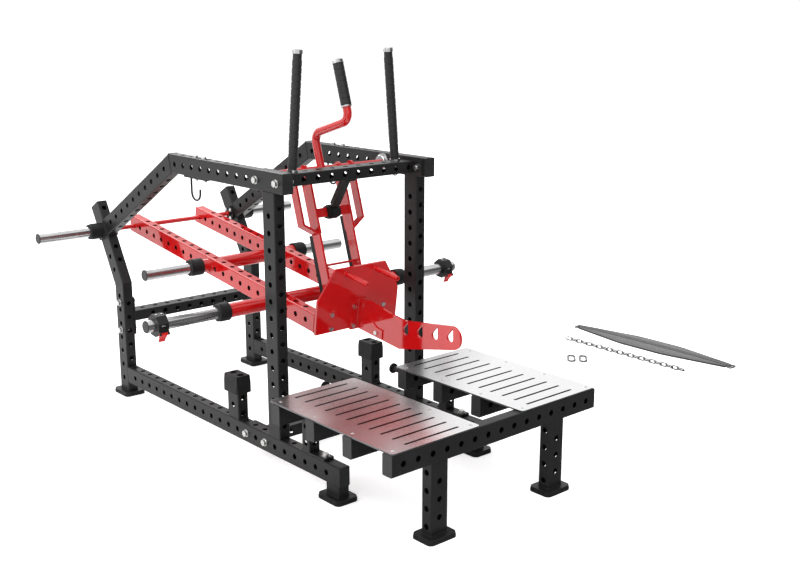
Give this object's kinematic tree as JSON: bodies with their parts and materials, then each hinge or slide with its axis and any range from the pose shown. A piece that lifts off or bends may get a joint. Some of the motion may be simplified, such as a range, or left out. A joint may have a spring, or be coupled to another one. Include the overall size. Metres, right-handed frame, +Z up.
{
  "type": "belt squat machine",
  "caption": "Free-standing plate-loaded belt squat machine with a pivoting lever, slotted foot platform, lockout crank, handles and a loose belt with chain.",
  "frame": {"origin": "on the floor, in the middle plane of the machine, half way between the front legs and the rear posts", "axes": "+X to the right of the user, +Y from the platform to the lever pivot, +Z up; the user stands at the -Y end and faces +Y"},
  "size_m": [3.11, 2.419, 1.6719],
  "materials": {
    "black_paint": "satin powder coat",
    "red_paint": "gloss paint",
    "bright_steel": "satin stainless",
    "chrome": "polished chrome",
    "zinc": "bright zinc",
    "black_rubber": "matt",
    "black_plastic": "matt",
    "black_fabric": "woven nylon"
  },
  "bodies": {
    "frame": {"base_rail_left": "black_paint", "base_rail_right": "black_paint", "front_upright_left": "black_paint", "front_upright_right": "black_paint", "rear_post_left": "black_paint", "rear_post_right": "black_paint", "top_rail_left": "black_paint", "top_rail_right": "black_paint", "front_cross_tube": "black_paint", "rear_cross_tube": "black_paint", "base_cross_tube": "black_paint", "platform_front_tube": "black_paint", "platform_joists_left": "black_paint", "platform_joists_right": "black_paint", "platform_posts": "black_paint", "tread_plate_left": "bright_steel", "tread_plate_right": "bright_steel", "tread_screws": "zinc", "foot_plates": "black_paint", "foot_pads": "black_rubber", "frame_end_plugs": "black_plastic", "frame_bolts": "zinc", "frame_nuts": "zinc", "bumper_posts": "black_paint", "bumper_caps": "black_rubber", "band_pegs": "black_paint", "handle_posts": "black_rubber", "handle_caps": "chrome", "belt_hooks": "black_paint", "storage_sleeves": "chrome", "storage_collars": "black_rubber", "storage_sleeve_caps": "black_plastic", "pivot_bearings": "black_paint", "lockout_bearings": "chrome", "lockout_stop_arm": "black_paint", "padded_belt": "black_fabric", "belt_rings": "zinc", "chain": "zinc", "carabiners": "zinc"},
    "lever": {"lever_arms": "red_paint", "pivot_shaft": "red_paint", "front_carrier_tube": "red_paint", "middle_carrier_tube": "red_paint", "lever_sleeves": "chrome", "lever_sleeve_caps": "black_plastic", "lever_collars": "black_rubber", "lever_end_plugs": "black_plastic", "front_plate": "red_paint", "pull_tongue": "red_paint", "lever_bolts": "zinc"},
    "lockout": {"lockout_frame": "red_paint", "crank_handle": "red_paint", "crank_grip": "black_rubber", "lockout_strips": "black_rubber"},
    "clamp_left": {"clamp_left": "black_paint"},
    "clamp_right": {"clamp_right": "black_paint"},
    "latch_left": {"clamp_latch_left": "red_paint"},
    "latch_right": {"clamp_latch_right": "red_paint"},
    "gate_1": {"carabiner_gate_1": "zinc"},
    "gate_2": {"carabiner_gate_2": "zinc"}
  },
  "joints": [
    {"name": "lever_swing", "type": "hinge", "parent": "frame", "child": "lever", "pos_m": [0, 1.1995, 0.78862], "axis": [1, 0, 0], "range_deg": [-10, 13.2]},
    {"name": "lockout_swing", "type": "hinge", "parent": "frame", "child": "lockout", "pos_m": [0, -0.035, 1.178], "axis": [1, 0, 0], "range_deg": [-3, 13.5]},
    {"name": "clamp_slide_left", "type": "slide", "parent": "lever", "child": "clamp_left", "axis": [1, 0, 0], "range_m": [-0.03, 0.2]},
    {"name": "clamp_slide_right", "type": "slide", "parent": "lever", "child": "clamp_right", "axis": [-1, 0, 0], "range_m": [-0.03, 0.2]},
    {"name": "latch_left", "type": "hinge", "parent": "clamp_left", "child": "latch_left", "pos_m": [-0.757, -0.02048, 0.60488], "axis": [-1, 0, 0], "range_deg": [0, 60]},
    {"name": "latch_right", "type": "hinge", "parent": "clamp_right", "child": "latch_right", "pos_m": [0.757, -0.02048, 0.60488], "axis": [-1, 0, 0], "range_deg": [0, 60]},
    {"name": "gate_open_1", "type": "hinge", "parent": "frame", "child": "gate_1", "pos_m": [1.70316, -0.01812, 0.005], "axis": [0, 0, -1], "range_deg": [0, 22], "stiffness_Nm_per_rad": 0.05},
    {"name": "gate_open_2", "type": "hinge", "parent": "frame", "child": "gate_2", "pos_m": [1.74516, -0.06412, 0.005], "axis": [0, 0, -1], "range_deg": [0, 22], "stiffness_Nm_per_rad": 0.05}
  ]
}
